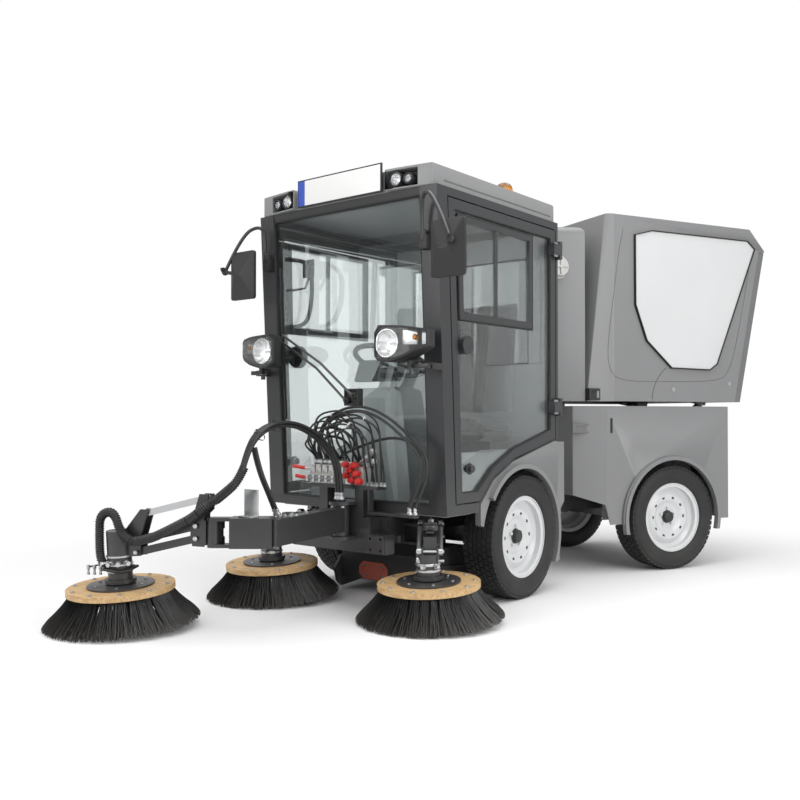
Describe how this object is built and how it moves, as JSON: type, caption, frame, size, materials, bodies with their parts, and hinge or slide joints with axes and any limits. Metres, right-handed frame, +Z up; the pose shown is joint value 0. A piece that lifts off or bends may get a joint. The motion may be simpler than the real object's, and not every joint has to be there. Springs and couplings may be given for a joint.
{
  "type": "street sweeper",
  "caption": "Compact articulated street sweeper with a glazed cab, disc brushes on side arms and a jointed front boom, suction mouth and rear tipping hopper.",
  "frame": {"origin": "on the ground, at the middle of the whole machine's box as it stands bent in the picture", "axes": "+Z up, forward is -Y for the front module, +X is the machine's left"},
  "size_m": [1.8748, 4.2674, 2.0456],
  "materials": {
    "amber": "amber lens",
    "black_plastic": "textured black plastic",
    "black_steel": "satin black powder coat",
    "body_grey": "semi-gloss mid-grey moulding",
    "bristle_black": "stiff plastic bristles",
    "cast_block": "plain block",
    "clear_lens": "clear lens",
    "frame_grey": "satin dark grey powder coat",
    "glass_tint": "lightly tinted safety glass",
    "panel_silver": "smooth silver panel",
    "plate_white": "blank reflective plate",
    "plywood": "oiled plywood edge and face",
    "roof_grey": "semi-gloss light grey moulding",
    "seat_fabric": "woven seat cover",
    "skid_orange": "orange-red wear plate",
    "tyre_rubber": "tyre rubber",
    "valve_silver": "machined valve block",
    "wheel_white": "silver-white lacquer",
    "zinc": "zinc plated"
  },
  "bodies": {
    "chassis": {"front_frame": "black_steel", "cab_frame": "frame_grey", "cab_shell": "frame_grey", "cab_glass": "glass_tint", "roof": "roof_grey", "number_plate": "plate_white", "beacon": "amber", "fenders_front": "body_grey", "console": "black_plastic", "steering_wheel": "black_plastic", "seat_base": "black_plastic", "seat_cushion": "seat_fabric", "seat_back": "seat_fabric", "headlamps": "black_plastic", "headlamp_lenses": "clear_lens", "mirrors": "black_plastic", "wiper": "black_plastic", "front_carrier": "black_steel", "hydraulic_block": "valve_silver", "suction_mouth": "skid_orange"},
    "rear_module": {"rear_frame": "black_steel", "rear_body": "body_grey", "engine": "cast_block", "water_tank": "body_grey"},
    "left_door": {"door_left": "frame_grey", "door_left_glass": "glass_tint"},
    "right_door": {"door_right": "frame_grey", "door_right_glass": "glass_tint"},
    "front_left_wheel": {"wheel_front_left": "wheel_white", "tyre_front_left": "tyre_rubber"},
    "front_right_wheel": {"wheel_front_right": "wheel_white", "tyre_front_right": "tyre_rubber"},
    "rear_left_wheel": {"wheel_rear_left": "wheel_white", "tyre_rear_left": "tyre_rubber"},
    "rear_right_wheel": {"wheel_rear_right": "wheel_white", "tyre_rear_right": "tyre_rubber"},
    "left_arm": {"side_arm_left": "black_steel"},
    "right_arm": {"side_arm_right": "black_steel"},
    "left_brush": {"brush_left": "plywood", "bristles_left": "bristle_black"},
    "right_brush": {"brush_right": "plywood", "bristles_right": "bristle_black"},
    "front_boom": {"boom": "black_steel"},
    "boom_elbow": {"elbow": "black_steel"},
    "upper_link": {"link_upper": "frame_grey"},
    "lower_link": {"link_lower": "frame_grey"},
    "strut_link": {"strut": "zinc"},
    "third_head": {"brush_head": "black_steel"},
    "third_brush": {"brush_front": "plywood", "bristles_front": "bristle_black"},
    "hopper_body": {"hopper": "body_grey", "hopper_panels": "panel_silver"},
    "rear_door": {"hopper_door": "body_grey"},
    "tip_barrel": {"lift_barrel": "black_steel"},
    "tip_rod": {"lift_rod": "zinc"}
  },
  "joints": [
    {"name": "articulation", "type": "hinge", "parent": "chassis", "child": "rear_module", "pos_m": [-0.16739, 0.64373, 0.47], "axis": [0, 0, 1], "range_deg": [-9.3, 60.7]},
    {"name": "left_door_hinge", "type": "hinge", "parent": "chassis", "child": "left_door", "pos_m": [0.39861, 0.08473, 1.32], "axis": [0, 0, 1], "range_deg": [0, 80]},
    {"name": "right_door_hinge", "type": "hinge", "parent": "chassis", "child": "right_door", "pos_m": [-0.73339, 0.08473, 1.32], "axis": [0, 0, -1], "range_deg": [0, 80]},
    {"name": "front_left_wheel_spin", "type": "hinge", "parent": "chassis", "child": "front_left_wheel", "pos_m": [0.32261, -0.27127, 0.295], "axis": [1, 0, 0], "continuous": true},
    {"name": "front_right_wheel_spin", "type": "hinge", "parent": "chassis", "child": "front_right_wheel", "pos_m": [-0.65739, -0.27127, 0.295], "axis": [1, 0, 0], "continuous": true},
    {"name": "rear_left_wheel_spin", "type": "hinge", "parent": "rear_module", "child": "rear_left_wheel", "pos_m": [0.55688, 1.01874, 0.295], "axis": [0.9011, -0.4337, 0], "continuous": true},
    {"name": "rear_right_wheel_spin", "type": "hinge", "parent": "rear_module", "child": "rear_right_wheel", "pos_m": [-0.32618, 1.44373, 0.295], "axis": [0.9011, -0.4337, 0], "continuous": true},
    {"name": "left_arm_swing", "type": "hinge", "parent": "chassis", "child": "left_arm", "pos_m": [0.19261, -0.74127, 0.3], "axis": [0, 0, 1], "range_deg": [-36, 9]},
    {"name": "left_brush_spin", "type": "hinge", "parent": "left_arm", "child": "left_brush", "pos_m": [0.34543, -0.95161, 0.02154], "axis": [0, -0.061, 0.9981], "continuous": true},
    {"name": "right_arm_swing", "type": "hinge", "parent": "chassis", "child": "right_arm", "pos_m": [-0.52739, -0.74127, 0.3], "axis": [0, 0, -1], "range_deg": [-9, 36]},
    {"name": "right_brush_spin", "type": "hinge", "parent": "right_arm", "child": "right_brush", "pos_m": [-0.56807, -0.99807, 0.02154], "axis": [0, -0.061, 0.9981], "continuous": true},
    {"name": "boom_swing", "type": "hinge", "parent": "chassis", "child": "front_boom", "pos_m": [-0.10339, -1.02127, 0.357], "axis": [0, 0, 1], "range_deg": [-8, 30]},
    {"name": "elbow_swing", "type": "hinge", "parent": "front_boom", "child": "boom_elbow", "pos_m": [-0.19139, -1.67727, 0.357], "axis": [0, 0, 1], "range_deg": [-6, 40]},
    {"name": "arm_lift", "type": "hinge", "parent": "boom_elbow", "child": "upper_link", "pos_m": [-0.25408, -1.69791, 0.434], "axis": [-0.3128, 0.9498, 0], "range_deg": [0, 50]},
    {"name": "lower_link_turn", "type": "hinge", "parent": "boom_elbow", "child": "lower_link", "pos_m": [-0.25408, -1.69791, 0.384], "axis": [-0.3128, 0.9498, 0], "range_deg": [0, 50]},
    {"name": "strut_turn", "type": "hinge", "parent": "boom_elbow", "child": "strut_link", "pos_m": [-0.21989, -1.68665, 0.545], "axis": [-0.3128, 0.9498, 0], "range_deg": [0, 50]},
    {"name": "head_level", "type": "hinge", "parent": "upper_link", "child": "third_head", "pos_m": [-0.52478, -1.78706, 0.364], "axis": [-0.3128, 0.9498, 0], "range_deg": [-50, 0]},
    {"name": "third_brush_spin", "type": "hinge", "parent": "third_head", "child": "third_brush", "pos_m": [-0.60739, -1.81427, 0.02154], "axis": [0, -0.061, 0.9981], "continuous": true},
    {"name": "hopper_tip", "type": "hinge", "parent": "rear_module", "child": "hopper_body", "pos_m": [0.30746, 1.63041, 0.962], "axis": [-0.9011, 0.4337, 0], "range_deg": [0, 45]},
    {"name": "rear_door_hinge", "type": "hinge", "parent": "hopper_body", "child": "rear_door", "pos_m": [0.43294, 1.89114, 1.868], "axis": [0.9011, -0.4337, 0], "range_deg": [0, 75]},
    {"name": "tip_barrel_lean", "type": "hinge", "parent": "rear_module", "child": "tip_barrel", "pos_m": [0.27389, 0.89192, 0.44], "axis": [-0.9011, 0.4337, 0], "range_deg": [-10, 10]},
    {"name": "tip_rod_slide", "type": "slide", "parent": "tip_barrel", "child": "tip_rod", "axis": [0.1939, 0.403, 0.8944], "range_m": [0, 0.3442]}
  ],
  "couplings": [
    {"joint": "lower_link_turn", "follows": "arm_lift", "ratio": 1},
    {"joint": "strut_turn", "follows": "arm_lift", "ratio": 1},
    {"joint": "head_level", "follows": "arm_lift", "ratio": -1},
    {"joint": "tip_barrel_lean", "follows": "hopper_tip", "ratio": -0.1067},
    {"joint": "tip_rod_slide", "follows": "hopper_tip", "m_per_rad": 0.437}
  ]
}
